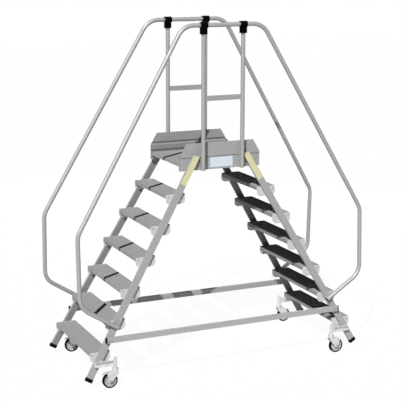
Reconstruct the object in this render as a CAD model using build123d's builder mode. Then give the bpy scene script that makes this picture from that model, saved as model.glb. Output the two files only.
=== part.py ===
from build123d import *
import os
from math import atan, cos, degrees, radians, sin, tan

os.makedirs("parts", exist_ok=True)

# Double-sided platform ladder. X runs along the walk, Y across it and Z up.
# Each piece is drawn on the right (+X) and far (+Y) side and mirrored to the others.
# The floor is Z 0 and the origin lies midway between the four wheels.

# Flights and deck
step_rise = 240.0
treads_per_flight = 6
first_tread_top = 294.0
flight_angle = 59.9
deck_top = first_tread_top + treads_per_flight * step_rise

# Side beams and toe boards beside the deck
beam_outer_y = 312.0
beam_thickness = 25.0
beam_height = 123.0
beam_wall = 2.5
beam_half_length = 357.0
beam_top_above_deck = 59.0
toe_board_height = 98.0
toe_board_end_run = 59.0
toe_board_sheet = 3.0
toe_board_flange = 20.0

# Stiles, each a flat tube that leans out from the deck to the floor
flare_angle = 4.4
stile_width = 54.5
stile_thickness = 25.0
stile_wall = 2.5
stile_top_x = 217.8
stile_end_z = 76.0
wedge_least = 3.0
wedge_margin = 6.0

# Plastic shoes on the stiles' lower ends
shoe_wall = 2.5
shoe_sleeve = 22.0
shoe_sole = 8.0
shoe_rounding = 3.0

# Treads and their end plates
tread_depth = 168.0
tread_ahead_of_stile = 100.9
tread_lip = 30.0
tread_skin = 3.0
tread_return = 14.0
tread_grooves = 9
groove_width = 8.0
groove_depth = 1.2
groove_pitch = 16.0
end_plate_thickness = 4.0
end_plate_height = 82.0
end_plate_low_radius = 38.0
end_plate_high_radius = 6.0

# Deck planking
deck_thickness = 27.0
deck_skin = 3.0
deck_webs = 6
deck_web_pitch = 102.0
deck_groove_count = 21
deck_groove_pitch = 32.0

# Handrail tubes, posts and knee rails
tube_radius = 17.5
tube_wall = 2.0
rail_height = 1100.0
rail_top_half = 348.0
rail_side_half = 1270.0
rail_upper_elbow_z = 1251.0
rail_lower_elbow_z = 681.0
rail_end_z = 480.0
rail_end_inside_stile = 24.9
rail_bend_radius = 150.0
rail_seat = 2.0
rail_cap_thickness = 3.0
post_x = 173.8
post_standoff = 48.6
post_foot_above_beam = 3.0
post_saddle_width = 23.0
post_saddle_height = 100.0
knee_rail_above_deck = 521.0
knee_rail_height = 40.0
knee_rail_thickness = 20.0
knee_rail_wall = 2.0
tube_fit = 0.1

# Clamps at the crossings of tubes
tee_width = 60.0
tee_post_wall = 6.5
tee_drop = 70.0
tee_collar_wall = 8.5
tee_rounding = 5.0
tee_post_gap = 3.0
saddle_length = 64.0
saddle_width = 30.0
saddle_wrap = 9.0

# Base bars that join the two flights
bar_height = 45.0
bar_thickness = 25.0
bar_wall = 2.5
bar_z = 387.0
bar_past_stile = 20.2
bar_cap_thickness = 3.0
bar_cap_rounding = 1.0

# Castor arms on the stiles
arm_height = 42.0
arm_depth = 25.0
arm_wall = 3.5
arm_above_head = 22.0
arm_past_stile = 24.5
stem_inside_stile = 147.5
stem_tube_radius = 15.0
stem_tube_rise = 24.0
stem_gap = 0.5
pin_radius = 7.0
pin_length = 60.0
pin_fit = 0.05
pin_end_gap = 4.0

# Castors
wheel_radius = 62.5
wheel_trail = 47.0
tyre_thickness = 13.0
tyre_width = 30.0
tyre_side_gap = 5.0
tyre_top_gap = 6.0
rim_width = 24.0
rim_lip = 6.0
rim_web = 7.0
hub_radius = 15.0
hub_side_gap = 1.5
axle_radius = 5.0
axle_fit = 0.05
axle_head_radius = 8.5
axle_head = 5.0
fork_sheet = 3.0
fork_eye_radius = 15.0
fork_shoulder_inner = 22.0
fork_shoulder_outer = 76.0
fork_shoulder_radius = 10.0
head_radius = 26.5
head_neck_radius = 21.0
head_height = 26.0
head_plate = 6.0
head_race = 14.0
pedal_width = 30.0
pedal_sheet = 3.0
pedal_tip = 112.0
pedal_drop = 16.0
pedal_lip = 8.0

overrun = 20.0

flight = radians(flight_angle)
flare = radians(flare_angle)
beam_top = deck_top + beam_top_above_deck
beam_bottom = beam_top - beam_height
beam_inner_y = beam_outer_y - beam_thickness
stile_inner_y = beam_outer_y + wedge_least
toe_board_half_top = beam_half_length - toe_board_end_run
rail_z = deck_top + rail_height
post_y = beam_outer_y + post_standoff
tee_depth = 2 * (tube_radius + tee_post_wall)
tee_collar_radius = tube_radius + tee_collar_wall
fork_gap = tyre_width + 2 * tyre_side_gap
fork_top = 2 * wheel_radius + tyre_top_gap + fork_sheet
head_top = fork_top + head_height
hub_width = fork_gap - 2 * hub_side_gap
arm_z = head_top + arm_above_head + arm_height / 2
stem_tube_top = arm_z + arm_height / 2 + stem_tube_rise
front_sides = {"right": False, "left": True}
depth_sides = {"far": False, "near": True}


def upright(x, y, z):
    """Plane square to Y through a point, with its own X along the walk and Y up."""
    return Plane(origin=(x, y, z), x_dir=(1, 0, 0), z_dir=(0, -1, 0))


def stile_x(z):
    """X of the stile's centre line at a height."""
    return stile_top_x + (beam_top - z) / tan(flight)


def stile_outer_y(z):
    """Y of the stile's outer face at a height."""
    return stile_inner_y + (beam_top - z) * tan(flare) + stile_thickness / cos(flare)


def tread_top(step):
    """Height of a tread, counted from the lowest."""
    return first_tread_top + step * step_rise


def tread_middle_x(step):
    """X of the middle of a tread's depth."""
    return stile_x(tread_top(step)) + tread_ahead_of_stile - tread_depth / 2


rail_end_x = stile_x(rail_end_z) - rail_end_inside_stile
bar_half_length = stile_x(bar_z) + bar_past_stile
arm_outer_x = stile_x(arm_z) + arm_past_stile
stem_x = stile_x(arm_z) - stem_inside_stile


# The plane of the stile's inner face, with its own X to the left and Y up the slope
side_plane = Plane(
    origin=(0, stile_inner_y, beam_top), x_dir=(-1, 0, 0), z_dir=(0, cos(flare), sin(flare))
)
near_side_plane = Plane(
    origin=(0, -stile_inner_y, beam_top), x_dir=(1, 0, 0), z_dir=(0, -cos(flare), sin(flare))
)
stile_outer_plane = side_plane.offset(stile_thickness)


def on_side(x, z):
    """Place of a point of the stile's plane, from its X and its height."""
    return (-x, (z - beam_top) / cos(flare))


def off_axis(z, offset):
    """Point of the stile's plane, square to its centre line from the height z on that line."""
    return on_side(stile_x(z) + offset * sin(flight), z + offset * cos(flight))


def flight_strip(width, high, low):
    """Outline of a strip along the stile's centre line, cut level at both ends."""
    half = width / 2 / sin(flight)
    return [
        on_side(stile_x(high) - half, high),
        on_side(stile_x(high) + half, high),
        on_side(stile_x(low) + half, low),
        on_side(stile_x(low) - half, low),
    ]


def write(piece, label):
    """Name one piece and write it."""
    piece.part.label = label
    export_step(piece.part, f"parts/{label}.step")


def write_copies(quarter, label, to_left=True, to_near=True):
    """Write a piece of the right far side and its mirrored copies, each as its own piece."""
    for front, left in front_sides.items():
        for depth, near in depth_sides.items():
            if (left and not to_left) or (near and not to_near):
                continue
            with BuildPart() as placed:
                add(quarter.part)
                if left:
                    mirror(about=Plane.YZ, mode=Mode.REPLACE)
                if near:
                    mirror(about=Plane.XZ, mode=Mode.REPLACE)
            names = [label] + ([front] if to_left else []) + ([depth] if to_near else [])
            write(placed, "_".join(names))


def mirror_to_all():
    """Repeat the open part's solids on the near side and then on the left."""
    mirror(about=Plane.XZ)
    mirror(about=Plane.YZ)


# Stiles
with BuildPart() as stile:
    with BuildSketch(side_plane):
        with BuildLine():
            Polyline(
                *flight_strip(stile_width, beam_top, beam_bottom)[:2],
                off_axis(stile_end_z, stile_width / 2),
                off_axis(stile_end_z, -stile_width / 2),
                close=True,
            )
        make_face()
    extrude(amount=stile_thickness)
    with BuildSketch(side_plane.offset(stile_wall)):
        with BuildLine():
            Polyline(
                *flight_strip(stile_width - 2 * stile_wall, beam_top + overrun, -overrun),
                close=True,
            )
        make_face()
    extrude(amount=stile_thickness - 2 * stile_wall, mode=Mode.SUBTRACT)
write_copies(stile, "stile")

# Wedges that fill the lean between the side beams and the stiles
with BuildPart() as stile_wedges:
    with BuildSketch(side_plane):
        with BuildLine():
            Polyline(
                *flight_strip(
                    stile_width - wedge_margin, beam_top - wedge_margin, beam_bottom + wedge_margin
                ),
                close=True,
            )
        make_face()
    extrude(amount=-(wedge_least + beam_height * tan(flare)))
    split(bisect_by=Plane.XZ.offset(-beam_outer_y), keep=Keep.BOTTOM)
    mirror_to_all()
write(stile_wedges, "stile_wedges")

# Shoes on the stiles' lower ends
with BuildPart() as foot_caps:
    shoe_half = stile_width / 2 + shoe_wall
    shoe_high = stile_end_z + shoe_sleeve * sin(flight)
    shoe_low = stile_end_z - shoe_sole * sin(flight)
    with BuildSketch(side_plane.offset(-shoe_wall)):
        with BuildLine():
            Polyline(
                off_axis(shoe_high, -shoe_half),
                off_axis(shoe_high, shoe_half),
                off_axis(shoe_low, shoe_half),
                off_axis(shoe_low, -shoe_half),
                close=True,
            )
        make_face()
    extrude(amount=stile_thickness + 2 * shoe_wall)
    shoe_sole_edges = foot_caps.faces().sort_by(Axis.Z)[0].edges()
    fillet(shoe_sole_edges, radius=shoe_rounding)
    with BuildSketch(side_plane):
        with BuildLine():
            Polyline(
                off_axis(shoe_high + overrun, -stile_width / 2),
                off_axis(shoe_high + overrun, stile_width / 2),
                off_axis(stile_end_z, stile_width / 2),
                off_axis(stile_end_z, -stile_width / 2),
                close=True,
            )
        make_face()
    extrude(amount=stile_thickness, mode=Mode.SUBTRACT)
    mirror_to_all()
write(foot_caps, "foot_caps")

# Treads, with a grooved top, folded lips and a web below
for step in range(treads_per_flight):
    top = tread_top(step)
    with BuildPart() as tread:
        with BuildSketch(upright(tread_middle_x(step), 0, top)):
            with Locations((0, -tread_lip / 2)):
                Rectangle(tread_depth, tread_lip)
            with Locations((0, -tread_skin - tread_lip / 2)):
                Rectangle(tread_depth - 2 * tread_skin, tread_lip, mode=Mode.SUBTRACT)
            with Locations((0, -tread_lip / 2)):
                Rectangle(tread_skin, tread_lip)
            with Locations(
                (tread_depth / 2 - tread_return / 2, tread_skin / 2 - tread_lip),
                (tread_return / 2 - tread_depth / 2, tread_skin / 2 - tread_lip),
            ):
                Rectangle(tread_return, tread_skin)
            with Locations((0, -groove_depth / 2)):
                with GridLocations(groove_pitch, 0, tread_grooves, 1):
                    Rectangle(groove_width, groove_depth, mode=Mode.SUBTRACT)
        extrude(amount=stile_outer_y(top - tread_lip), both=True)
        split(bisect_by=side_plane.offset(-end_plate_thickness), keep=Keep.BOTTOM)
        split(bisect_by=near_side_plane.offset(-end_plate_thickness), keep=Keep.BOTTOM)
    for side, left in front_sides.items():
        with BuildPart() as placed_tread:
            add(tread.part)
            if left:
                mirror(about=Plane.YZ, mode=Mode.REPLACE)
        write(placed_tread, f"tread_{side}_{step + 1}")

# End plates that bolt the treads to the stiles
with BuildPart() as tread_end_plates_right:
    with BuildSketch(side_plane.offset(-end_plate_thickness)):
        for step in range(treads_per_flight):
            with BuildSketch(mode=Mode.PRIVATE) as plate_face:
                Rectangle(tread_depth, end_plate_height)
                fillet(plate_face.vertices().group_by(Axis.Y)[0], radius=end_plate_low_radius)
                fillet(plate_face.vertices().group_by(Axis.Y)[-1], radius=end_plate_high_radius)
            high_x, high_y = on_side(tread_middle_x(step), tread_top(step))
            with Locations((high_x, high_y - end_plate_height / 2)):
                add(plate_face.sketch)
    extrude(amount=end_plate_thickness)
    mirror(about=Plane.XZ)
write(tread_end_plates_right, "tread_end_plates_right")

with BuildPart() as tread_end_plates_left:
    add(tread_end_plates_right.part)
    mirror(about=Plane.YZ, mode=Mode.REPLACE)
write(tread_end_plates_left, "tread_end_plates_left")

# Deck between the side beams
with BuildPart() as deck:
    with BuildSketch(upright(0, 0, deck_top)):
        with Locations((0, -deck_thickness / 2)):
            Rectangle(2 * beam_half_length, deck_thickness)
        with Locations((0, -deck_skin - deck_thickness / 2)):
            Rectangle(2 * (beam_half_length - deck_skin), deck_thickness, mode=Mode.SUBTRACT)
        with Locations((0, -deck_thickness / 2)):
            with GridLocations(deck_web_pitch, 0, deck_webs, 1):
                Rectangle(deck_skin, deck_thickness)
        with Locations((0, -groove_depth / 2)):
            with GridLocations(deck_groove_pitch, 0, deck_groove_count, 1):
                Rectangle(groove_width, groove_depth, mode=Mode.SUBTRACT)
    extrude(amount=beam_inner_y, both=True)
write(deck, "deck")

# Side beams
with BuildPart() as side_beam:
    with BuildSketch(Plane.YZ):
        with Locations((beam_outer_y - beam_thickness / 2, beam_top - beam_height / 2)):
            Rectangle(beam_thickness, beam_height)
            Rectangle(
                beam_thickness - 2 * beam_wall, beam_height - 2 * beam_wall, mode=Mode.SUBTRACT
            )
    extrude(amount=beam_half_length, both=True)
write_copies(side_beam, "side_beam", to_left=False)

# Toe boards, with sloping ends and a flange on the beam
with BuildPart() as toe_board:
    with BuildSketch(Plane.XZ.offset(-beam_outer_y)):
        with BuildLine():
            Polyline(
                (-beam_half_length, beam_top),
                (-toe_board_half_top, beam_top + toe_board_height),
                (toe_board_half_top, beam_top + toe_board_height),
                (beam_half_length, beam_top),
                close=True,
            )
        make_face()
    extrude(amount=toe_board_sheet)
    with BuildSketch(Plane.XY.offset(beam_top)):
        with Locations((0, beam_outer_y - toe_board_flange / 2)):
            Rectangle(2 * beam_half_length, toe_board_flange)
    extrude(amount=toe_board_sheet)
write_copies(toe_board, "toe_board", to_left=False)

# Posts
post_foot = beam_bottom + post_foot_above_beam
post_head = rail_z - tube_radius - tee_post_gap
with BuildPart() as post:
    with BuildSketch(Plane.XY.offset(post_foot)):
        with Locations((post_x, post_y)):
            Circle(tube_radius)
            Circle(tube_radius - tube_wall, mode=Mode.SUBTRACT)
    extrude(amount=post_head - post_foot)
write_copies(post, "post")

# Saddles that stand the posts off the side beams
with BuildPart() as post_saddles:
    saddle_reach = post_y - beam_outer_y - tube_radius / 2
    with BuildSketch(Plane.XY.offset(beam_top - beam_height / 2)):
        with Locations((post_x, beam_outer_y + saddle_reach / 2)):
            Rectangle(post_saddle_width, saddle_reach)
        with Locations((post_x, post_y)):
            Circle(tube_radius + tube_fit, mode=Mode.SUBTRACT)
    extrude(amount=post_saddle_height / 2, both=True)
    mirror_to_all()
write(post_saddles, "post_saddles")

# Knee rails, coped to the posts
with BuildPart() as knee_rail:
    with BuildSketch(Plane.YZ):
        with Locations((post_y, deck_top + knee_rail_above_deck)):
            Rectangle(knee_rail_thickness, knee_rail_height)
            Rectangle(
                knee_rail_thickness - 2 * knee_rail_wall,
                knee_rail_height - 2 * knee_rail_wall,
                mode=Mode.SUBTRACT,
            )
    extrude(amount=post_x, both=True)
    with BuildSketch(Plane.XY.offset(deck_top + knee_rail_above_deck)):
        with Locations((post_x, post_y), (-post_x, post_y)):
            Circle(tube_radius + tube_fit)
    extrude(amount=knee_rail_height, both=True, mode=Mode.SUBTRACT)
write_copies(knee_rail, "knee_rail", to_left=False)

# Handrails, each one tube bent in a plane that leans out to the stiles' feet
rail_end_y = stile_outer_y(rail_end_z) + rail_seat + tube_radius
rail_lean = atan((rail_end_y - post_y) / (rail_z - rail_end_z))
rail_plane = Plane(
    origin=(0, post_y, rail_z), x_dir=(-1, 0, 0), z_dir=(0, cos(rail_lean), sin(rail_lean))
)


def on_rail(x, z):
    """Place of a point of the handrail's plane, from its X and its height."""
    return (-x, (z - rail_z) / cos(rail_lean))


# Corners of the right half of the tube, from the middle down
half_corners = [
    (rail_top_half, rail_z),
    (rail_side_half, rail_upper_elbow_z),
    (rail_side_half, rail_lower_elbow_z),
    (rail_end_x, rail_end_z),
]
left_corners = [(-x, z) for x, z in reversed(half_corners)]
with BuildPart() as handrail:
    with BuildLine(rail_plane) as rail_line:
        FilletPolyline(
            *[on_rail(x, z) for x, z in left_corners + half_corners], radius=rail_bend_radius
        )
    with BuildSketch(Plane(origin=rail_line.line @ 0, z_dir=rail_line.line % 0)):
        Circle(tube_radius)
        Circle(tube_radius - tube_wall, mode=Mode.SUBTRACT)
    sweep()
write_copies(handrail, "handrail", to_left=False)

# The handrail's lower run, from its elbow to its end on the stile
rail_end = rail_plane.from_local_coords(Vector(*on_rail(rail_end_x, rail_end_z)))
rail_elbow = rail_plane.from_local_coords(Vector(*on_rail(rail_side_half, rail_lower_elbow_z)))
end_plane = Plane(origin=rail_end, z_dir=rail_end - rail_elbow)
with BuildPart() as handrail_end_caps:
    with BuildSketch(end_plane):
        Circle(tube_radius)
    extrude(amount=rail_cap_thickness)
    mirror_to_all()
write(handrail_end_caps, "handrail_end_caps")

# Saddles between the handrails' lower runs and the stiles, where the two centre lines cross
low_run = rail_elbow - rail_end
low_run_slope = low_run.Z / low_run.X
cross_x = (
    rail_end_x + (stile_x(rail_end_z) - rail_end_x) / (1 + low_run_slope / tan(flight))
)
cross_z = rail_end_z + (cross_x - rail_end_x) * low_run_slope
with BuildPart() as handrail_saddles:
    with BuildSketch(stile_outer_plane):
        with Locations(Location(on_side(cross_x, cross_z), -degrees(atan(low_run_slope)))):
            Rectangle(saddle_length, saddle_width)
    extrude(amount=rail_seat + saddle_wrap)
    with BuildSketch(end_plane):
        Circle(tube_radius + tube_fit)
    extrude(amount=saddle_length, both=True, mode=Mode.SUBTRACT)
    mirror_to_all()
write(handrail_saddles, "handrail_saddles")

# Tees that clamp the handrails on the posts
with BuildPart() as rail_tees:
    with BuildSketch(Plane.XY.offset(rail_z - tee_drop)):
        with Locations((post_x, post_y)):
            RectangleRounded(tee_width, tee_depth, radius=tee_depth / 2 - tee_rounding)
    extrude(amount=tee_drop)
    with BuildSketch(Plane.YZ.offset(post_x - tee_width / 2)):
        with Locations((post_y, rail_z)):
            Circle(tee_collar_radius)
    extrude(amount=tee_width)
    with BuildSketch(Plane.YZ.offset(post_x - tee_width)):
        with Locations((post_y, rail_z)):
            Circle(tube_radius + tube_fit)
    extrude(amount=2 * tee_width, mode=Mode.SUBTRACT)
    with BuildSketch(Plane.XY.offset(post_head)):
        with Locations((post_x, post_y)):
            Circle(tube_radius + tube_fit)
    extrude(amount=-tee_drop, mode=Mode.SUBTRACT)
    mirror_to_all()
write(rail_tees, "rail_tees")

# Base bars across both flights
with BuildPart() as base_bar:
    with BuildSketch(stile_outer_plane):
        with Locations(on_side(0, bar_z)):
            Rectangle(2 * bar_half_length, bar_height)
    extrude(amount=bar_thickness)
    with BuildSketch(stile_outer_plane.offset(bar_wall)):
        with Locations(on_side(0, bar_z)):
            Rectangle(2 * (bar_half_length + overrun), bar_height - 2 * bar_wall)
    extrude(amount=bar_thickness - 2 * bar_wall, mode=Mode.SUBTRACT)
write_copies(base_bar, "base_bar", to_left=False)

with BuildPart() as base_bar_caps:
    with BuildSketch(stile_outer_plane):
        with Locations(on_side(bar_half_length + bar_cap_thickness / 2, bar_z)):
            Rectangle(bar_cap_thickness, bar_height)
    extrude(amount=bar_thickness)
    fillet(base_bar_caps.faces().sort_by(Axis.X)[-1].edges(), radius=bar_cap_rounding)
    mirror_to_all()
write(base_bar_caps, "base_bar_caps")

# Castor arms: a channel on the stile and an upright tube for the castor's pin
stem_y = stile_outer_y(arm_z) + arm_depth / 2
with BuildPart() as castor_arms:
    with BuildSketch(stile_outer_plane):
        with Locations(on_side((stem_x + arm_outer_x) / 2, arm_z)):
            Rectangle(arm_outer_x - stem_x, arm_height)
    extrude(amount=arm_depth)
    with BuildSketch(stile_outer_plane.offset(arm_wall)):
        with Locations(on_side((stem_x + arm_outer_x) / 2 + overrun, arm_z)):
            Rectangle(arm_outer_x - stem_x, arm_height - 2 * arm_wall)
    extrude(amount=arm_depth, mode=Mode.SUBTRACT)
    with BuildSketch(Plane.XY.offset(head_top + stem_gap)):
        with Locations((stem_x, stem_y)):
            Circle(stem_tube_radius)
    extrude(amount=stem_tube_top - head_top - stem_gap)
    with BuildSketch(Plane.XY.offset(head_top)):
        with Locations((stem_x, stem_y)):
            Circle(pin_radius + pin_fit)
    extrude(amount=pin_length + pin_end_gap, mode=Mode.SUBTRACT)
    mirror_to_all()
write(castor_arms, "castor_arms")

# Castor forks, with the swivel head, the pin and the brake pedal.
# The profile starts at the swivel axis, with its X towards the wheel.
fork_half = fork_gap / 2 + fork_sheet
wheel_x = stem_x + wheel_trail
with BuildPart() as castor_fork:
    with BuildSketch(upright(stem_x, stem_y, 0)):
        with Locations((wheel_trail, wheel_radius)):
            Circle(fork_eye_radius)
        with Locations(
            (fork_shoulder_radius - fork_shoulder_inner, fork_top - fork_shoulder_radius),
            (fork_shoulder_outer - fork_shoulder_radius, fork_top - fork_shoulder_radius),
        ):
            Circle(fork_shoulder_radius)
        make_hull()
    extrude(amount=fork_half, both=True)
    with BuildSketch(Plane.XY):
        with Locations((wheel_x, stem_y)):
            Rectangle(2 * wheel_radius + 2 * overrun, fork_gap)
    extrude(amount=fork_top - fork_sheet, mode=Mode.SUBTRACT)
    with BuildSketch(upright(stem_x, stem_y, 0)):
        with BuildLine():
            Polyline(
                (0, fork_top - fork_sheet),
                (head_neck_radius, fork_top - fork_sheet),
                (head_neck_radius, head_top - head_plate - head_race),
                (head_radius, head_top - head_plate - head_race / 2),
                (head_radius, head_top - head_plate),
                (head_radius, head_top),
                (pin_radius, head_top),
                (pin_radius, head_top + pin_length),
                (0, head_top + pin_length),
                close=True,
            )
        make_face()
    revolve(axis=Axis((stem_x, stem_y, 0), (0, 0, 1)))
    with BuildSketch(upright(stem_x, stem_y, 0)):
        with BuildLine():
            Polyline(
                (fork_shoulder_outer - fork_shoulder_radius, fork_top),
                (pedal_tip - pedal_lip, fork_top - pedal_drop),
                (pedal_tip, fork_top - pedal_drop),
                (pedal_tip, fork_top - pedal_drop - pedal_sheet),
                (pedal_tip - pedal_lip, fork_top - pedal_drop - pedal_sheet),
                (fork_shoulder_outer - fork_shoulder_radius, fork_top - pedal_sheet),
                close=True,
            )
        make_face()
    extrude(amount=pedal_width / 2, both=True)
    with BuildSketch(upright(wheel_x, stem_y, wheel_radius)):
        Circle(axle_radius)
    extrude(amount=fork_half + overrun, both=True, mode=Mode.SUBTRACT)
write_copies(castor_fork, "castor_fork")

# Axles, a bolt with a head at each end
with BuildPart() as castor_axle:
    with BuildSketch(upright(wheel_x, stem_y, wheel_radius)):
        Circle(axle_radius)
    extrude(amount=fork_half, both=True)
    with BuildSketch(upright(wheel_x, stem_y - fork_half, wheel_radius)):
        Circle(axle_head_radius)
    extrude(amount=axle_head)
    with BuildSketch(upright(wheel_x, stem_y + fork_half, wheel_radius)):
        RegularPolygon(axle_head_radius, 6)
    extrude(amount=-axle_head)
write_copies(castor_axle, "castor_axle")

# Wheel rims: hub, web and rim turned about the axle
rim_radius = wheel_radius - tyre_thickness
axle_line = Axis((wheel_x, stem_y, wheel_radius), (0, 1, 0))
wheel_plane = Plane(origin=(wheel_x, stem_y, wheel_radius), x_dir=(0, 0, 1), z_dir=(1, 0, 0))
with BuildPart() as castor_rim:
    with BuildSketch(wheel_plane):
        with BuildLine():
            Polyline(
                (axle_radius + axle_fit, -hub_width / 2),
                (hub_radius, -hub_width / 2),
                (hub_radius, -rim_web / 2),
                (rim_radius - rim_lip, -rim_web / 2),
                (rim_radius - rim_lip, -rim_width / 2),
                (rim_radius, -rim_width / 2),
                (rim_radius, rim_width / 2),
                (rim_radius - rim_lip, rim_width / 2),
                (rim_radius - rim_lip, rim_web / 2),
                (hub_radius, rim_web / 2),
                (hub_radius, hub_width / 2),
                (axle_radius + axle_fit, hub_width / 2),
                close=True,
            )
        make_face()
    revolve(axis=axle_line)
write_copies(castor_rim, "castor_rim")

# Tyres, a flat band round each rim
with BuildPart() as castor_tyre:
    with BuildSketch(wheel_plane):
        with Locations((rim_radius + tyre_thickness / 2, 0)):
            Rectangle(tyre_thickness, tyre_width)
    revolve(axis=axle_line)
write_copies(castor_tyre, "castor_tyre")
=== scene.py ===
from math import cos, pi, radians, sin, tan

import bmesh
import bpy
from mathutils import Matrix, Vector

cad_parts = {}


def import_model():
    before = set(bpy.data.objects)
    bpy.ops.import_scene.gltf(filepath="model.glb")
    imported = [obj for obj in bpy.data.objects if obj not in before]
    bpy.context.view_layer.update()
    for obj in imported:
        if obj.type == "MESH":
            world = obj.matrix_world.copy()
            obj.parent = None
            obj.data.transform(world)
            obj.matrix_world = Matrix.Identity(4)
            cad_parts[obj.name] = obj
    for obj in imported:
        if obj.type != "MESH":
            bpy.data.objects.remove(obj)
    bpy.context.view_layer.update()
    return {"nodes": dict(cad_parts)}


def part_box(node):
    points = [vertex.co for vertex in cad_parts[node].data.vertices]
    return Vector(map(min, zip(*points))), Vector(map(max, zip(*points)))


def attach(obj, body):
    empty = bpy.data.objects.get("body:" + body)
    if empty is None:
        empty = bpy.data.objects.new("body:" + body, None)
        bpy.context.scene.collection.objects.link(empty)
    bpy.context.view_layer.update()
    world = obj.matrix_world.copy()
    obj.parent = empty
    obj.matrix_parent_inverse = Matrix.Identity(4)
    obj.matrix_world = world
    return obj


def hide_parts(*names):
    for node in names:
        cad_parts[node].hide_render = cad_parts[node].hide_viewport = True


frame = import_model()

nodes = frame["nodes"]

# Signs of the flights along X and of the sides along Y, and the treads of a flight from below
SIDES = {"left": -1, "right": 1}
DEPTHS = {"near": -1, "far": 1}
STEPS = (1, 2, 3, 4, 5, 6)

# Directions
ALONG_X = (1.0, 0.0, 0.0)
ALONG_Y = (0.0, 1.0, 0.0)
UPWARD = (0.0, 0.0, 1.0)

# Camera, fitted to the photograph
CAMERA_AT = (-4.142744, -8.989113, 3.494539)
CAMERA_YAW = radians(24.643)
CAMERA_PITCH = radians(-12.353)
CAMERA_ROLL = radians(0.135)
CAMERA_LENS = 107.017
CAMERA_SENSOR = 36.0
CAMERA_FAR = 100.0

# Light and floor
SUN_RUN = (0.65, 0.78, -1.0)
SUN_STRENGTH = 4.0
SUN_SPREAD = radians(0.5)
FILL_AT = (4.6, 5.5, 0.35)
FILL_SIZE = (6.0, 0.6)
FILL_POWER = 260.0
WORLD_LIGHT = 0.02
WHITE = (1.0, 1.0, 1.0, 1.0)
FLOOR_HALF = 30.0
FLOOR_DROP = 0.0004
FLOOR_BOUNCE = 0.7
FLOOR_SHADOW_SHARE = 0.035

# Angles and sections of the stiles, tubes and base bars
FLIGHT = radians(59.9)
FLARE = radians(4.4)
STILE_WIDTH = 0.0545
STILE_THICKNESS = 0.025
TUBE_RADIUS = 0.0175
BAR_THICKNESS = 0.025
BAR_HEIGHT = 0.045

# Bolts, rivets and socket screws. A profile is a row of (height, radius) pairs
BOLT_RADIUS = 0.0065
BOLT_HEIGHT = 0.0042
BOLT_CHAMFER = 0.0009
BOLT_TOP_SHARE = 0.86
WASHER_RADIUS = 0.0085
WASHER_HEIGHT = 0.0012
RIVET_RADIUS = 0.005
RIVET_HEIGHT = 0.002
RIVET_STEPS = 5
SEAT = 0.0002
SOCKET_PROFILE = ((-0.003, 0.0042), (0.0002, 0.0042), (0.0002, 0.0022), (-0.0015, 0.0022))

# Places of the fasteners: (drop below the tread's top, place across the stile) for the rivets,
# and (place beside the post, drop below the tee's top) for the tees' screws
STILE_RIVETS = ((0.018, -0.012), (0.050, 0.012))
TEE_SCREWS = ((-0.018, 0.026), (0.018, 0.026), (0.0, 0.078))
CROSSING_BOLTS = (-0.010, 0.010)
POST_SCREW_RISE = 0.032
POST_SCREW_SCALE = 1.15

# Bolts of the end plates: two inside below the tread, one outside ahead of the stile
PLATE_THICKNESS = 0.004
INNER_BOLT_SHARES = (0.3, 0.62)
INNER_BOLT_BELOW_TREAD = 0.018
INNER_BOLT_SCALE = 0.8
OUTER_BOLT_BELOW_TOP = 0.021
OUTER_BOLT_AHEAD = 0.068
OUTER_BOLT_SCALE = 0.75

# Heads of the base bars' caps
CAP_HEAD = 0.006
CAP_CORNER = 0.003

# Blank plate and blank stickers
LABEL_CORNER = 0.004
PLATE_SIZE = (0.204, 0.082, 0.0012)
PLATE_CENTRE_X = 0.010
PLATE_CENTRE_Z = 1.726
STICKER_SIZE = (0.255, 0.050, 0.0004)
STICKER_FROM_TOP = 0.006

# Painted shadows in the joints of the side beams: below a lap outside, at the toe board's foot and the
# deck's edge inside
LAP_BELOW_TOP = 0.0175
LAP_JOINT = 0.005
TOE_JOINT_ABOVE_TOP = 0.018
TOE_JOINT = 0.012
TOE_SHEET = 0.003
DECK_JOINT_ABOVE_DECK = 0.0145
DECK_JOINT = 0.014
GAP_SHADOW_THICKNESS = 0.0005

# Tyres. The line's shares are of the half width, the foot's pairs are (inset, rise over the rim)
TYRE_SEGMENTS = 96
TYRE_SHOULDER = 0.0055
SHOULDER_STEPS = 5
TYRE_LINE = ((0.25, 0.0), (0.29, 0.0007), (0.33, 0.0))
TYRE_FOOT = ((0.0008, 0.002), (0.002, 0.0))

# Rims
RIB_COUNT = 10
RIB_INNER = 0.0145
RIB_OUTER = 0.0437
RIB_OFF_MIDDLE = 0.0033
RIB_WIDTH = 0.0024
RIB_HEIGHT = 0.0034
HUB_OFF_MIDDLE = 0.0034
HUB_PROFILE = ((0.0, 0.0185), (0.004, 0.0185), (0.0052, 0.0172), (0.0052, 0.0145))

# Swivels. The pedal's ridges start at (ahead of the axle, height) and go on by a pitch
SWIVEL_TRAIL = 0.047
RACE_HEIGHT = 0.1508
RACE_PROFILE = ((-0.0012, 0.0262), (-0.0008, 0.0276), (0.0010, 0.0276), (0.0014, 0.0262))
RIDGE_COUNT = 4
RIDGE_START = (0.0335, 0.1308)
RIDGE_PITCH = (0.0065, -0.0027)
RIDGE_TILT = (0.38, 0.92)
RIDGE_SIZE = (0.024, 0.0022, 0.0016)

# Rounding
CORNER_STEPS = 4

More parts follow.
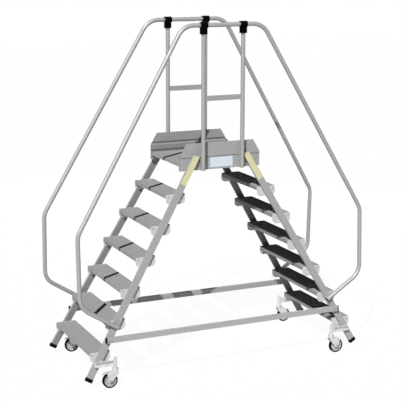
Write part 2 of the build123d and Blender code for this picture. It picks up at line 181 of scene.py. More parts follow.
# Main places, read from the frame
BEAM_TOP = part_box("side_beam_near")[1][2]
BEAM_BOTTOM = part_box("side_beam_near")[0][2]
BEAM_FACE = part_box("side_beam_far")[1][1]
STILE_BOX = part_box("stile_right_near")
STILE_TOP_X = STILE_BOX[0][0] + STILE_WIDTH / 2 / sin(FLIGHT)
STILE_TOP_Y = -STILE_BOX[1][1]
POST_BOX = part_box("post_right_far")
POST_X = (POST_BOX[0][0] + POST_BOX[1][0]) / 2
POST_Y = (POST_BOX[0][1] + POST_BOX[1][1]) / 2
BAR_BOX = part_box("base_bar_far")
BAR_Y = (BAR_BOX[0][1] + BAR_BOX[1][1]) / 2
BAR_Z = (BAR_BOX[0][2] + BAR_BOX[1][2]) / 2


def stile_x(z):
    """X of the right stile's centre line at a height."""
    return STILE_TOP_X + (BEAM_TOP - z) / tan(FLIGHT)


def stile_y(z, outward=0.0):
    """Y of the far stile's inner face at a height, moved outward across its thickness."""
    return STILE_TOP_Y + (BEAM_TOP - z) * tan(FLARE) + outward / cos(FLARE)


# Node helpers

# Sockets of a mix node for colours
MIX_FIRST, MIX_SECOND, MIX_RESULT = 6, 7, 2

# Spans of a texture's values over which a look changes
WIDE = (0.2, 0.8)
MIDDLE = (0.3, 0.7)
LOWER = (0.3, 0.75)
PEAKS = (0.55, 0.8)

# Spans of the masks: the normals' agreement near an edge, and how far a face looks inward, where shade
# is painted
EDGE_SPAN = (0.97, 0.8)
INWARD_SPAN = (-0.12, -0.24)
EDGE_RADIUS = 0.0015
EDGE_SAMPLES = 4

# Roughness of the noise, its stretch for a tread's scuffs, and the spread of a plastic's roughness
NOISE_ROUGHNESS = 0.55
SCUFF_STRETCH = (1.0, 0.25, 1.0)
PLASTIC_SMOOTHER = 0.06
PLASTIC_ROUGHER = 0.08


def node(tree, kind, inputs=None, **settings):
    """Add a shader node with settings and input values."""
    made = tree.nodes.new(kind)
    for key, value in settings.items():
        setattr(made, key, value)
    for key, value in (inputs or {}).items():
        made.inputs[key].default_value = value
    return made


def new_material(name, inputs):
    """A node material, its tree and its shader with input values."""
    material = bpy.data.materials.new(name)
    material.use_nodes = True
    shader = material.node_tree.nodes["Principled BSDF"]
    for key, value in inputs.items():
        shader.inputs[key].default_value = value
    return material, material.node_tree, shader


def textured(tree, kind, inputs, **settings):
    """A texture in the object's own space."""
    place = node(tree, "ShaderNodeTexCoord")
    texture = node(tree, kind, inputs, **settings)
    tree.links.new(place.outputs["Object"], texture.inputs["Vector"])
    return texture


def noise(tree, scale, detail, stretch=(1.0, 1.0, 1.0), turn=0.0):
    """Noise in the object's own space, stretched along a direction turned about Y."""
    place = node(tree, "ShaderNodeTexCoord")
    mapping = node(tree, "ShaderNodeMapping", {"Rotation": (0.0, turn, 0.0), "Scale": stretch})
    texture = node(
        tree,
        "ShaderNodeTexNoise",
        {"Scale": scale, "Detail": detail, "Roughness": NOISE_ROUGHNESS},
    )
    tree.links.new(place.outputs["Object"], mapping.inputs["Vector"])
    tree.links.new(mapping.outputs["Vector"], texture.inputs["Vector"])
    return texture.outputs["Fac"]


def ranged(tree, value, span, result=(0.0, 1.0)):
    """A value's span turned to a range of results."""
    made = node(
        tree,
        "ShaderNodeMapRange",
        {"From Min": span[0], "From Max": span[1], "To Min": result[0], "To Max": result[1]},
    )
    tree.links.new(value, made.inputs["Value"])
    return made.outputs["Result"]


def mixed(tree, factor, first, second, blend="MIX"):
    """Two colours mixed by a factor. Each is a colour or another node's output."""
    made = node(tree, "ShaderNodeMix", data_type="RGBA", blend_type=blend)
    tree.links.new(factor, made.inputs["Factor"])
    for key, colour in ((MIX_FIRST, first), (MIX_SECOND, second)):
        if isinstance(colour, bpy.types.NodeSocket):
            tree.links.new(colour, made.inputs[key])
        else:
            made.inputs[key].default_value = (*colour, 1.0)
    return made.outputs[MIX_RESULT]


def scaled(colour, share):
    """A darker or lighter shade of a colour."""
    return tuple(min(c * share, 1.0) for c in colour)


def toned(tree, value, span, colour, start, end):
    """A colour that goes from one shade of itself to another over a value's span."""
    return mixed(tree, ranged(tree, value, span), scaled(colour, start), scaled(colour, end))


def stained(tree, value, span, base, stain, share):
    """A colour with a stain over it, which grows up to a share over a value's span."""
    return mixed(tree, ranged(tree, value, span, (0.0, share)), base, stain)


def worn_edges(tree, base, edge, radius=EDGE_RADIUS):
    """A colour with another one along the edges of the shape."""
    bevel = node(tree, "ShaderNodeBevel", {"Radius": radius}, samples=EDGE_SAMPLES)
    geometry = node(tree, "ShaderNodeNewGeometry")
    dot = node(tree, "ShaderNodeVectorMath", operation="DOT_PRODUCT")
    tree.links.new(bevel.outputs["Normal"], dot.inputs[0])
    tree.links.new(geometry.outputs["Normal"], dot.inputs[1])
    return mixed(tree, ranged(tree, dot.outputs["Value"], EDGE_SPAN), base, edge)


def painted_inner_shade(tree, colour, share, axis="Y"):
    """Painted shade: a colour brought down to a share on faces that look back to the ladder's middle.
    """
    place = node(tree, "ShaderNodeTexCoord")
    at = node(tree, "ShaderNodeSeparateXYZ")
    normal = node(tree, "ShaderNodeSeparateXYZ")
    side = node(tree, "ShaderNodeMath", operation="MULTIPLY")
    tree.links.new(place.outputs["Object"], at.inputs[0])
    tree.links.new(place.outputs["Normal"], normal.inputs[0])
    tree.links.new(at.outputs[axis], side.inputs[0])
    tree.links.new(normal.outputs[axis], side.inputs[1])
    inward = ranged(tree, side.outputs[0], INWARD_SPAN)
    return mixed(tree, inward, colour, (share, share, share), "MULTIPLY")


def coat(tree, shader, colour, value, roughness, span=WIDE):
    """Link a colour to the shader, and a roughness that goes over a range by a value's span."""
    tree.links.new(colour, shader.inputs["Base Color"])
    tree.links.new(ranged(tree, value, span, roughness), shader.inputs["Roughness"])


def bump(tree, shader, height, strength, distance):
    """Bump from a height, on the shader's normal."""
    made = node(tree, "ShaderNodeBump", {"Strength": strength, "Distance": distance})
    tree.links.new(height, made.inputs["Height"])
    tree.links.new(made.outputs["Normal"], shader.inputs["Normal"])


# Materials


def extruded_metal(name, colour, grain, turn=0.0, inner=1.0):
    """Extruded aluminium: die lines along it, cloudy oxide, worn edges and painted shade on inner
    faces.
    """
    material, tree, shader = new_material(name, {"Metallic": 0.08, "Specular IOR Level": 0.08})
    lines = noise(tree, scale=60.0, detail=3.0, stretch=grain, turn=turn)
    cloud = noise(tree, scale=7.0, detail=5.0)
    lined = toned(tree, lines, MIDDLE, colour, start=0.94, end=1.05)
    clouded = stained(tree, cloud, PEAKS, lined, scaled(colour, 0.84), share=0.35)
    worn = worn_edges(tree, clouded, scaled(colour, 1.45))
    if inner < 1.0:
        # Painted shade on the faces that look back to the ladder's middle
        worn = painted_inner_shade(tree, worn, inner)
    coat(tree, shader, worn, cloud, roughness=(0.36, 0.52))
    bump(tree, shader, lines, strength=0.12, distance=0.0006)
    return material


def drawn_tube(name, colour, grain):
    """Drawn aluminium tube: fine draw lines, faint handling marks and a satin sheen."""
    sheen = {
        "Metallic": 0.42,
        "Specular IOR Level": 0.0,
        "Specular Tint": (0.15, 0.15, 0.15, 1.0),
    }
    material, tree, shader = new_material(name, sheen)
    lines = noise(tree, scale=60.0, detail=3.0, stretch=grain)
    cloud = noise(tree, scale=9.0, detail=5.0)
    lined = toned(tree, lines, MIDDLE, colour, start=0.96, end=1.03)
    marked = stained(tree, cloud, PEAKS, lined, scaled(colour, 0.88), share=0.35)
    coat(tree, shader, marked, cloud, roughness=(0.42, 0.54))
    bump(tree, shader, lines, strength=0.04, distance=0.0004)
    return material


def tread_metal(name, colour):
    """Tread aluminium: fine ribs along the tread, scuffed crests and painted shade on the back edges.
    """
    material, tree, shader = new_material(name, {"Specular IOR Level": 0.0})
    wave = {"Scale": 62.0, "Distortion": 0.0}
    ribs = textured(tree, "ShaderNodeTexWave", wave, bands_direction="X").outputs["Fac"]
    scuff = noise(tree, scale=22.0, detail=6.0, stretch=SCUFF_STRETCH)
    ribbed = toned(tree, ribs, (0.1, 0.6), colour, start=0.96, end=1.02)
    scuffed = stained(tree, scuff, (0.55, 0.75), ribbed, scaled(colour, 0.9), share=0.4)
    worn = worn_edges(tree, scuffed, scaled(colour, 1.2))
    # Painted shade on the faces that look back along X to the ladder's middle
    dust_and_painted_shade = painted_inner_shade(tree, worn, share=0.78, axis="X")
    coat(tree, shader, dust_and_painted_shade, scuff, roughness=(0.38, 0.58))
    bump(tree, shader, ribs, strength=0.02, distance=0.0004)
    return material


def cast_metal(name, colour):
    """Pale cast end plate: a finely grained skin, a satin sheen and a rubbed rim."""
    material, tree, shader = new_material(name, {"Metallic": 0.05, "Specular IOR Level": 0.1})
    grain = noise(tree, scale=420.0, detail=3.0)
    cloud = noise(tree, scale=18.0, detail=4.0)
    clouded = toned(tree, cloud, LOWER, colour, start=1.05, end=0.9)
    worn = worn_edges(tree, clouded, scaled(colour, 1.2))
    coat(tree, shader, worn, cloud, roughness=(0.36, 0.52))
    bump(tree, shader, grain, strength=0.15, distance=0.0004)
    return material


def moulded_plastic(name, colour, roughness, gloss=0.02):
    """Moulded plastic: a fine spark-eroded grain, with edges polished by handling."""
    material, tree, shader = new_material(name, {"Specular IOR Level": gloss})
    grain = noise(tree, scale=900.0, detail=2.0)
    cloud = noise(tree, scale=25.0, detail=4.0)
    clouded = toned(tree, cloud, (0.35, 0.7), colour, start=0.85, end=1.2)
    worn = worn_edges(tree, clouded, scaled(colour, 1.7), radius=0.001)
    spread = (roughness - PLASTIC_SMOOTHER, roughness + PLASTIC_ROUGHER)
    coat(tree, shader, worn, cloud, spread, MIDDLE)
    bump(tree, shader, grain, strength=0.15, distance=0.0003)
    return material


def zinc_plate(name, colour, gloss=0.35):
    """Zinc-plated pressed steel: faint crystal cloudiness, bright edges and a green cast."""
    material, tree, shader = new_material(name, {"Metallic": gloss, "Specular IOR Level": gloss})
    crystals = textured(tree, "ShaderNodeTexVoronoi", {"Scale": 110.0}).outputs["Color"]
    cloud = noise(tree, scale=40.0, detail=5.0)
    spangled = toned(tree, crystals, WIDE, colour, start=0.9, end=1.04)
    clouded = stained(tree, cloud, (0.5, 0.8), spangled, scaled(colour, 0.82), share=0.5)
    worn = worn_edges(tree, clouded, scaled(colour, 1.15), radius=0.0008)
    coat(tree, shader, worn, cloud, roughness=(0.24, 0.42))
    bump(tree, shader, cloud, strength=0.08, distance=0.0004)
    return material


def rubber(name, colour):
    """Solid rubber tyre: matt, with rolling scuffs and grey dust."""
    material, tree, shader = new_material(name, {"Specular IOR Level": 0.02})
    scuff = noise(tree, scale=70.0, detail=6.0)
    grain = noise(tree, scale=500.0, detail=3.0)
    dust_and_painted_shade = toned(tree, scuff, (0.45, 0.8), colour, start=0.7, end=2.2)
    coat(tree, shader, dust_and_painted_shade, scuff, roughness=(0.68, 0.88))
    bump(tree, shader, grain, strength=0.3, distance=0.0004)
    return material


def label_film(name, colour):
    """Blank film: flat and slightly glossy, faded unevenly and dirty along its edges."""
    material, tree, shader = new_material(name, {"Specular IOR Level": 0.45})
    fade = noise(tree, scale=12.0, detail=4.0)
    faded = toned(tree, fade, LOWER, colour, start=1.0, end=0.93)
    dirty = worn_edges(tree, faded, scaled(colour, 0.85), radius=0.003)
    coat(tree, shader, dirty, fade, roughness=(0.3, 0.42), span=MIDDLE)
    bump(tree, shader, fade, strength=0.05, distance=0.0004)
    return material


# Colours
ALUMINIUM = (0.385, 0.383, 0.384)
TREAD = (0.372, 0.372, 0.373)
TUBE = (0.403, 0.403, 0.405)
RAIL = (0.365, 0.365, 0.366)
BAR = (0.405, 0.405, 0.405)
END_PLATE = (0.585, 0.585, 0.592)
BLACK = (0.0025, 0.0025, 0.003)
# Dark grey of the painted shadows in the side beams' joints
GAP_SHADOW_GREY = (0.12, 0.12, 0.12)
SHOE = (0.005, 0.005, 0.012)
ZINC = (0.68, 0.70, 0.685)
RIM = (0.47, 0.48, 0.475)
RUBBER = (0.005, 0.005, 0.005)
FASTENER = (0.37, 0.373, 0.378)
PLATE_FILM = (0.69, 0.76, 0.83)
STICKER_FILM = (0.66, 0.64, 0.37)

# Stretches of the noise that make lines along a part
STEEP_LINES = (22, 22, 0.6)
LEVEL_LINES = (0.6, 22, 22)
UPRIGHT_TUBE_LINES = (14, 14, 0.8)
BENT_TUBE_LINES = (1.5, 6, 1.5)
LEFT_LEAN = pi / 2 - FLIGHT
RIGHT_LEAN = FLIGHT - pi / 2

materials = {
    # inner is the share of colour left by the painted shade on faces that look to the ladder's middle
    "stile_left": extruded_metal("stile metal left", ALUMINIUM, STEEP_LINES, LEFT_LEAN, inner=0.65),
    "stile_right": extruded_metal("stile metal right", ALUMINIUM, STEEP_LINES, RIGHT_LEAN, inner=0.66),
    "profile": extruded_metal("profile metal", ALUMINIUM, LEVEL_LINES, inner=0.75),
    "toe_board": extruded_metal("toe board metal", ALUMINIUM, LEVEL_LINES, inner=0.87),
    "bar": extruded_metal("bar metal", BAR, LEVEL_LINES, inner=0.9),
    "rail": extruded_metal("rail metal", RAIL, LEVEL_LINES),
    "tube": drawn_tube("tube metal", TUBE, UPRIGHT_TUBE_LINES),
    "bent_tube": drawn_tube("bent tube metal", TUBE, BENT_TUBE_LINES),
    "tread": tread_metal("tread metal", TREAD),
    "end_plate": cast_metal("end plate metal", END_PLATE),
    "black": moulded_plastic("black plastic", BLACK, roughness=0.42, gloss=0.01),
    "joint": moulded_plastic("painted gap shadow", GAP_SHADOW_GREY, roughness=0.7),
    "shoe": moulded_plastic("shoe plastic", SHOE, roughness=0.5),
    "zinc": zinc_plate("zinc plate", ZINC),
    "rim": moulded_plastic("grey rim plastic", RIM, roughness=0.45, gloss=0.2),
    "rubber": rubber("tyre rubber", RUBBER),
    "steel": zinc_plate("fastener steel", FASTENER, gloss=0.15),
    "plate": label_film("blank plate film", PLATE_FILM),
    "sticker": label_film("blank sticker film", STICKER_FILM),
}

# The material of each CAD node, by the start of its name
NODE_MATERIALS = {
    "stile_left": "stile_left",
    "stile_right": "stile_right",
    "stile_wedges": "profile",
    "foot_caps": "shoe",
    "tread_left": "tread",
    "tread_right": "tread",
    "tread_end": "end_plate",
    "deck": "tread",
    "side_beam": "profile",
    "toe_board": "toe_board",
    "post": "tube",
    "post_saddles": "profile",
    "knee_rail": "rail",
    "handrail": "bent_tube",
    "handrail_end_caps": "black",
    "handrail_saddles": "profile",
    "rail_tees": "black",
    "base_bar": "bar",
    "base_bar_caps": "black",
    "castor_arms": "zinc",
    "castor_fork": "zinc",
    "castor_axle": "steel",
    "castor_rim": "rim",
    "castor_tyre": "rubber",
}


def dress(name):
    """Give a CAD node the material whose start fits its name best, through its object's slots."""
    fits = [start for start in NODE_MATERIALS if name.startswith(start)]
    for place in nodes[name].material_slots:
        place.link = "OBJECT"
        place.material = materials[NODE_MATERIALS[max(fits, key=len)]]


# Shape helpers


def side_frame(centre, outward, along):
    """A matrix at a place, with Z outward and X along."""
    z = Vector(outward).normalized()
    y = z.cross(Vector(along)).normalized()
    x = y.cross(z)
    return Matrix.Translation(Vector(centre)) @ Matrix((x, y, z)).transposed().to_4x4()


def spun(mesh, place, profile, segments, smooth=True):
    """Add rings of points round the place's Z and the faces between them, and return the rings."""
    rings = []
    for height, radius in profile:
        ring = []
        for count in range(segments):
            angle = 2 * pi * count / segments
            point = Vector((radius * cos(angle), radius * sin(angle), height))
            ring.append(mesh.verts.new(place @ point))
        rings.append(ring)
    for low, high in zip(rings, rings[1:]):
        band(mesh, low, high, smooth)
    return rings


def band(mesh, low, high, smooth):
    """Add the faces between two rings."""
    for count in range(len(low)):
        after = (count + 1) % len(low)
        face = mesh.faces.new((low[count], low[after], high[after], high[count]))
        face.smooth = smooth


def turned(mesh, place, profile, segments, smooth=True):
    """Add a turned solid with closed ends, from a profile of (height, radius) pairs."""
    rings = spun(mesh, place, profile, segments, smooth)
    mesh.faces.new(list(reversed(rings[0])))
    mesh.faces.new(rings[-1])


def slab(mesh, place, size, corner=0.0):
    """Add a flat slab, its corners rounded if asked, standing on the place's XY plane."""
    half_x, half_y, height = size[0] / 2, size[1] / 2, size[2]
    outline = []
    for turn, (sx, sy) in enumerate(((1, 1), (-1, 1), (-1, -1), (1, -1))):
        for count in range(CORNER_STEPS + 1 if corner else 1):
            angle = pi / 2 * (turn + count / CORNER_STEPS)
            x = sx * (half_x - corner) + corner * cos(angle)
            y = sy * (half_y - corner) + corner * sin(angle)
            outline.append((x, y))
    low = [mesh.verts.new(place @ Vector((x, y, 0.0))) for x, y in outline]
    high = [mesh.verts.new(place @ Vector((x, y, height))) for x, y in outline]
    mesh.faces.new(list(reversed(low)))
    mesh.faces.new(high)
    band(mesh, low, high, smooth=False)


def bolt(mesh, place, scale=1.0):
    """Add a hexagon bolt head on its washer."""
    seat = WASHER_HEIGHT * scale
    washer = [(0.0, WASHER_RADIUS * scale), (seat, WASHER_RADIUS * scale)]
    turned(mesh, place, washer, segments=20)
    top = (WASHER_HEIGHT + BOLT_HEIGHT) * scale
    head = [
        (seat, BOLT_RADIUS * scale),
        (top - BOLT_CHAMFER * scale, BOLT_RADIUS * scale),
        (top, BOLT_RADIUS * BOLT_TOP_SHARE * scale),
    ]
    turned(mesh, place, head, segments=6, smooth=False)


def rivet(mesh, place, scale=1.0):
    """Add a domed rivet head."""
    profile = [(-SEAT, RIVET_RADIUS * scale)]
    for count in range(RIVET_STEPS):
        angle = pi / 2 * count / RIVET_STEPS
        radius = max(RIVET_RADIUS * scale * cos(angle), SEAT)
        profile.append((RIVET_HEIGHT * scale * sin(angle), radius))
    turned(mesh, place, profile, segments=16)


def scene_object(name, data):
    """Make an object of the scene from its data."""
    shape = bpy.data.objects.new(name, data)
    bpy.context.scene.collection.objects.link(shape)
    return shape


def mesh_object(name, mesh, material):
    """Make an object of the scene from a mesh and a material."""
    data = bpy.data.meshes.new(name)
    mesh.to_mesh(data)
    mesh.free()
    data.materials.append(material)
    return scene_object(name, data)


def piece(name, mesh, material, body="frame"):
    """Finish a mesh as an object that rides on a body."""
    bmesh.ops.recalc_face_normals(mesh, faces=mesh.faces)
    shape = mesh_object(name, mesh, materials[material])
    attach(shape, body)
    return shape


def corners():
    """Each of the four corners: its name and its signs along X and Y."""
    for side, sx in SIDES.items():
        for depth, sy in DEPTHS.items():
            yield f"{side}_{depth}", sx, sy


def stile_place(sx, sy, z, across=0.0, outward=STILE_THICKNESS):
    """A matrix on a stile's outer face, its X down the flight and its Z outward."""
    run = Vector((sx * cos(FLIGHT), sy * sin(FLIGHT) * tan(FLARE), -sin(FLIGHT)))
    x = stile_x(z) + across / sin(FLIGHT)
    centre = (sx * x, sy * stile_y(z, outward), z)
    return side_frame(centre, (0.0, sy * cos(FLARE), sin(FLARE)), run)


# Fasteners of the frame


def stile_rivets():
    """Two flush rivets through each stile into each tread's end plate."""
    mesh = bmesh.new()
    for step in STEPS:
        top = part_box(f"tread_right_{step}")[1][2]
        for _, sx, sy in corners():
            for drop, across in STILE_RIVETS:
                rivet(mesh, stile_place(sx, sy, top - drop, across))
    piece("stile_rivets", mesh, "profile")


def end_plate_bolts():
    """Two bolts on each end plate's inner face, and one on its outer face ahead of the stile."""
    mesh = bmesh.new()
    for step in STEPS:
        low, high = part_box(f"tread_right_{step}")
        for _, sx, sy in corners():
            for share in INNER_BOLT_SHARES:
                x = low[0] + (high[0] - low[0]) * share
                z = low[2] - INNER_BOLT_BELOW_TREAD
                centre = (sx * x, sy * stile_y(z, -PLATE_THICKNESS), z)
                place = side_frame(centre, (0.0, -sy * cos(FLARE), -sin(FLARE)), ALONG_X)
                bolt(mesh, place, INNER_BOLT_SCALE)
            z = high[2] - OUTER_BOLT_BELOW_TOP
            ahead = OUTER_BOLT_AHEAD * sin(FLIGHT)
            bolt(mesh, stile_place(sx, sy, z, ahead, 0.0), OUTER_BOLT_SCALE)
    piece("end_plate_bolts", mesh, "steel")


def crossing_bolts():
    """Two bolts where each base bar crosses a stile."""
    mesh = bmesh.new()
    for _, sx, sy in corners():
        for across in CROSSING_BOLTS:
            bolt(mesh, stile_place(sx, sy, BAR_Z, across, 2 * STILE_THICKNESS))
    piece("crossing_bolts", mesh, "steel")


def post_screws():
    """Screws through each post into its saddle and into the knee rail."""
    mesh = bmesh.new()
    knee_low, knee_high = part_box("knee_rail_far")
    knee_z = (knee_low[2] + knee_high[2]) / 2
    middle = (BEAM_TOP + BEAM_BOTTOM) / 2
    for _, sx, sy in corners():
        for z in (middle - POST_SCREW_RISE, middle + POST_SCREW_RISE, knee_z):
            centre = (sx * POST_X, sy * (POST_Y + TUBE_RADIUS), z)
            rivet(mesh, side_frame(centre, (0.0, sy, 0.0), ALONG_X), POST_SCREW_SCALE)
    piece("post_screws", mesh, "steel")


def tee_screws():
    """Two socket screws in the outer side of each tee, and one at its foot."""
    mesh = bmesh.new()
    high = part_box("rail_tees")[1]
    for _, sx, sy in corners():
        for across, drop in TEE_SCREWS:
            centre = (sx * (POST_X + across), sy * high[1], high[2] - drop)
            place = side_frame(centre, (0.0, sy, 0.0), ALONG_X)
            turned(mesh, place, SOCKET_PROFILE, segments=14, smooth=False)
    piece("tee_screws", mesh, "black")


def bar_cap_heads():
    """Raised black heads on the base bars' caps."""
    mesh = bmesh.new()
    cap_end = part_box("base_bar_caps")[1][0]
    for _, sx, sy in corners():
        lean = (0.0, sy * cos(FLARE), sin(FLARE))
        place = side_frame((sx * cap_end, sy * BAR_Y, BAR_Z), (sx, 0.0, 0.0), lean)
        slab(mesh, place, (BAR_THICKNESS, BAR_HEIGHT, CAP_HEAD), CAP_CORNER)
    piece("bar_cap_heads", mesh, "black")


# Painted shadows in the joints of the side beams


def painted_gap_shadows():
    """Dark strips of painted shadow in the gaps of the joints along the side beams, outside and
    inside.
    """
    mesh = bmesh.new()
    beam_low, beam_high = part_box("side_beam_far")
    deck_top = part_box("deck")[1][2]
    length = 2 * beam_high[0]
    toe_face = BEAM_FACE - TOE_SHEET
    toe_length = 2 * (beam_high[0] - TOE_JOINT_ABOVE_TOP)
    # Strips of painted shadow in the joints: face, height, strip height, length and way outward
    strips = (
        (BEAM_FACE, BEAM_TOP - LAP_BELOW_TOP, LAP_JOINT, length, 1.0),
        (toe_face, BEAM_TOP + TOE_JOINT_ABOVE_TOP, TOE_JOINT, toe_length, -1.0),
        (beam_low[1], deck_top + DECK_JOINT_ABOVE_DECK, DECK_JOINT, length, -1.0),
    )
    for sy in DEPTHS.values():
        for face_y, z, height, strip_length, outward in strips:
            place = side_frame((0.0, sy * face_y, z), (0.0, sy * outward, 0.0), ALONG_X)
            slab(mesh, place, (strip_length, height, GAP_SHADOW_THICKNESS))
    piece("painted_gap_shadows", mesh, "joint")


# Blank plate and stickers


def blank_plate():
    """A blank plate on the near side beam."""
    mesh = bmesh.new()
    centre = (PLATE_CENTRE_X, -BEAM_FACE, PLATE_CENTRE_Z)
    slab(mesh, side_frame(centre, (0.0, -1.0, 0.0), ALONG_X), PLATE_SIZE, LABEL_CORNER)
    piece("blank_plate", mesh, "plate")


def blank_stickers():
    """A blank sticker at the top of each near stile."""
    mesh = bmesh.new()
    z = BEAM_TOP - (STICKER_FROM_TOP + STICKER_SIZE[0] / 2) * sin(FLIGHT)
    for sx in SIDES.values():
        slab(mesh, stile_place(sx, DEPTHS["near"], z), STICKER_SIZE, LABEL_CORNER)
    piece("blank_stickers", mesh, "sticker")


# Castors


def wheel_parts(corner):
    """The centre, radius and half width of one wheel, read from the frame."""
    low, high = (Vector(v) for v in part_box(f"castor_tyre_{corner}"))
    centre = (low + high) / 2
    return centre, (high.z - low.z) / 2, (high.y - low.y) / 2


def tyre_profile(corner):
    """One tyre's section as (height, radius) pairs: lines, shoulders and the foot on the rim."""
    _, radius, half = wheel_parts(corner)
    rim_low, rim_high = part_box(f"castor_rim_{corner}")
    inner = (rim_high[2] - rim_low[2]) / 2
    outer = [(half * share, radius - depth) for share, depth in TYRE_LINE]
    for count in range(SHOULDER_STEPS + 1):
        angle = pi / 2 * count / SHOULDER_STEPS
        height = half - TYRE_SHOULDER + TYRE_SHOULDER * sin(angle)
        outer.append((height, radius - TYRE_SHOULDER + TYRE_SHOULDER * cos(angle)))
    outer += [(half - inset, inner + rise) for inset, rise in TYRE_FOOT]
    return [(-height, r) for height, r in reversed(outer)] + outer


def tyre(corner):
    """A solid tyre with rounded shoulders and two fine tread lines."""
    mesh = bmesh.new()
    place = side_frame(wheel_parts(corner)[0], ALONG_Y, ALONG_X)
    rings = spun(mesh, place, tyre_profile(corner), TYRE_SEGMENTS)
    band(mesh, rings[-1], rings[0], smooth=True)
    shape = piece(f"tyre_{corner}", mesh, "rubber", f"wheel_{corner}")
    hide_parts(f"castor_tyre_{corner}")


def rim_ribs(corner):
    """Ribs between hub and rim on both faces, and a raised ring at the hub."""
    centre = wheel_parts(corner)[0]
    mesh = bmesh.new()
    for face in (-1, 1):
        off_middle = Vector((0.0, face * RIB_OFF_MIDDLE, 0.0))
        for count in range(RIB_COUNT):
            angle = 2 * pi * count / RIB_COUNT
            spoke = Vector((cos(angle), 0.0, sin(angle)))
            at = centre + spoke * (RIB_INNER + RIB_OUTER) / 2 + off_middle
            size = (RIB_OUTER - RIB_INNER, RIB_WIDTH, RIB_HEIGHT)
            slab(mesh, side_frame(at, (0.0, face, 0.0), spoke), size)
        hub = centre + Vector((0.0, face * HUB_OFF_MIDDLE, 0.0))
        place = side_frame(hub, (0.0, face, 0.0), ALONG_X)
        turned(mesh, place, HUB_PROFILE, segments=32)
    piece(f"rim_ribs_{corner}", mesh, "rim", f"wheel_{corner}")


def castor_details(corner, sx):
    """Ball race ring and pedal ridges of one castor."""
    centre = wheel_parts(corner)[0]
    fork_low, fork_high = (Vector(v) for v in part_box(f"castor_fork_{corner}"))
    middle_y = (fork_low.y + fork_high.y) / 2
    mesh = bmesh.new()
    race = (centre.x - sx * SWIVEL_TRAIL, middle_y, RACE_HEIGHT)
    turned(mesh, side_frame(race, UPWARD, ALONG_X), RACE_PROFILE, segments=40)
    for count in range(RIDGE_COUNT):
        ahead, height = (s + p * count for s, p in zip(RIDGE_START, RIDGE_PITCH))
        at = (centre.x + sx * ahead, middle_y, height)
        place = side_frame(at, (sx * RIDGE_TILT[0], 0.0, RIDGE_TILT[1]), ALONG_Y)
        slab(mesh, place, RIDGE_SIZE)
    piece(f"castor_details_{corner}", mesh, "zinc", f"swivel_{corner}")


# Surroundings


def any_ray(tree, *kinds):
    """1 for rays of any of these kinds and 0 for the others."""
    path = node(tree, "ShaderNodeLightPath")
    seen = path.outputs[kinds[0]]
    for kind in kinds[1:]:
        either = node(tree, "ShaderNodeMath", operation="MAXIMUM")
        tree.links.new(seen, either.inputs[0])
        tree.links.new(path.outputs[kind], either.inputs[1])
        seen = either.outputs[0]
    return seen


def floor_material():
    """White to the camera and to gloss but for a share that takes shadow, and pale to light."""
    material = bpy.data.materials.new("floor")
    material.use_nodes = True
    tree = material.node_tree
    tree.nodes.clear()
    seen = any_ray(tree, "Is Camera Ray", "Is Glossy Ray")
    bounce = node(tree, "ShaderNodeBsdfDiffuse", {"Color": (*[FLOOR_BOUNCE] * 3, 1.0)})
    pale = node(tree, "ShaderNodeBsdfDiffuse", {"Color": WHITE})
    white = node(tree, "ShaderNodeEmission", {"Strength": 1.0})
    shown = node(tree, "ShaderNodeMixShader", {"Fac": FLOOR_SHADOW_SHARE})
    tree.links.new(white.outputs[0], shown.inputs[1])
    tree.links.new(pale.outputs[0], shown.inputs[2])
    both = node(tree, "ShaderNodeMixShader")
    tree.links.new(seen, both.inputs["Fac"])
    tree.links.new(bounce.outputs[0], both.inputs[1])
    tree.links.new(shown.outputs[0], both.inputs[2])
    out = node(tree, "ShaderNodeOutputMaterial")
    tree.links.new(both.outputs[0], out.inputs["Surface"])
    return material


def floor():
    """A pale floor that keeps a faint shadow of the object and shows white."""
    mesh = bmesh.new()
    points = [
        (x * FLOOR_HALF, y * FLOOR_HALF, -FLOOR_DROP)
        for x, y in ((-1, -1), (1, -1), (1, 1), (-1, 1))
    ]
    mesh.faces.new([mesh.verts.new(point) for point in points])
    shape = mesh_object("floor", mesh, floor_material())


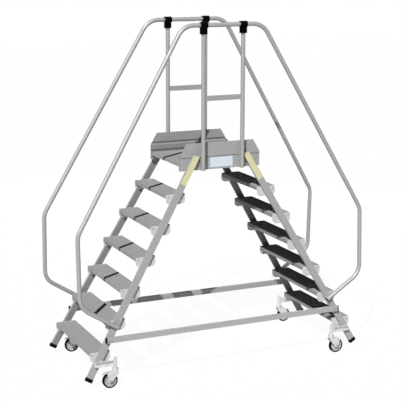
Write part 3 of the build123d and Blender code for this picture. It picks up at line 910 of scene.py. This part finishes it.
def world():
    """Faint even light. The camera, gloss and what shines through see it as white."""
    made = bpy.data.worlds.new("world")
    made.use_nodes = True
    bpy.context.scene.world = made
    tree = made.node_tree
    tree.nodes.clear()
    seen = any_ray(tree, "Is Camera Ray", "Is Glossy Ray", "Is Transmission Ray")
    strength = ranged(tree, seen, (0.0, 1.0), (WORLD_LIGHT, 1.0))
    back = node(tree, "ShaderNodeBackground", {"Color": WHITE})
    out = node(tree, "ShaderNodeOutputWorld")
    tree.links.new(strength, back.inputs["Strength"])
    tree.links.new(back.outputs[0], out.inputs["Surface"])


def aimed(shape, toward):
    """Turn a lamp so that it shines in a direction."""
    shape.rotation_euler = Vector(toward).to_track_quat("-Z", "Y").to_euler()


def sun():
    """The key light, from the front left and above."""
    lamp = bpy.data.lights.new("sun", "SUN")
    lamp.energy = SUN_STRENGTH
    lamp.angle = SUN_SPREAD
    aimed(scene_object("sun", lamp), SUN_RUN)


def fill():
    """A low, wide and soft lamp behind, so that the far and right sides aren't in the dark."""
    lamp = bpy.data.lights.new("fill", "AREA")
    lamp.shape = "RECTANGLE"
    lamp.size, lamp.size_y = FILL_SIZE
    lamp.energy = FILL_POWER
    shape = scene_object("fill", lamp)
    shape.location = FILL_AT
    shape.visible_camera = False
    aimed(shape, (-FILL_AT[0], -FILL_AT[1], 0.0))


def camera():
    """The photograph's camera."""
    data = bpy.data.cameras.new("camera")
    data.sensor_width = CAMERA_SENSOR
    data.lens = CAMERA_LENS
    data.clip_end = CAMERA_FAR
    shape = scene_object("camera", data)
    flat = Vector((sin(CAMERA_YAW), cos(CAMERA_YAW), 0.0))
    forward = flat * cos(CAMERA_PITCH) + Vector((0.0, 0.0, sin(CAMERA_PITCH)))
    level = Vector((cos(CAMERA_YAW), -sin(CAMERA_YAW), 0.0))
    upward = level.cross(forward)
    right = level * cos(CAMERA_ROLL) + upward * sin(CAMERA_ROLL)
    up = upward * cos(CAMERA_ROLL) - level * sin(CAMERA_ROLL)
    turn = Matrix((right, up, -forward)).transposed().to_4x4()
    shape.matrix_world = Matrix.Translation(CAMERA_AT) @ turn
    bpy.context.scene.camera = shape


for name in nodes:
    dress(name)
stile_rivets()
end_plate_bolts()
crossing_bolts()
post_screws()
tee_screws()
bar_cap_heads()
painted_gap_shadows()
blank_plate()
blank_stickers()
for corner, sx, _ in corners():
    tyre(corner)
    rim_ribs(corner)
    castor_details(corner, sx)
floor()
world()
sun()
fill()
camera()
bpy.context.scene.view_settings.view_transform = "Standard"
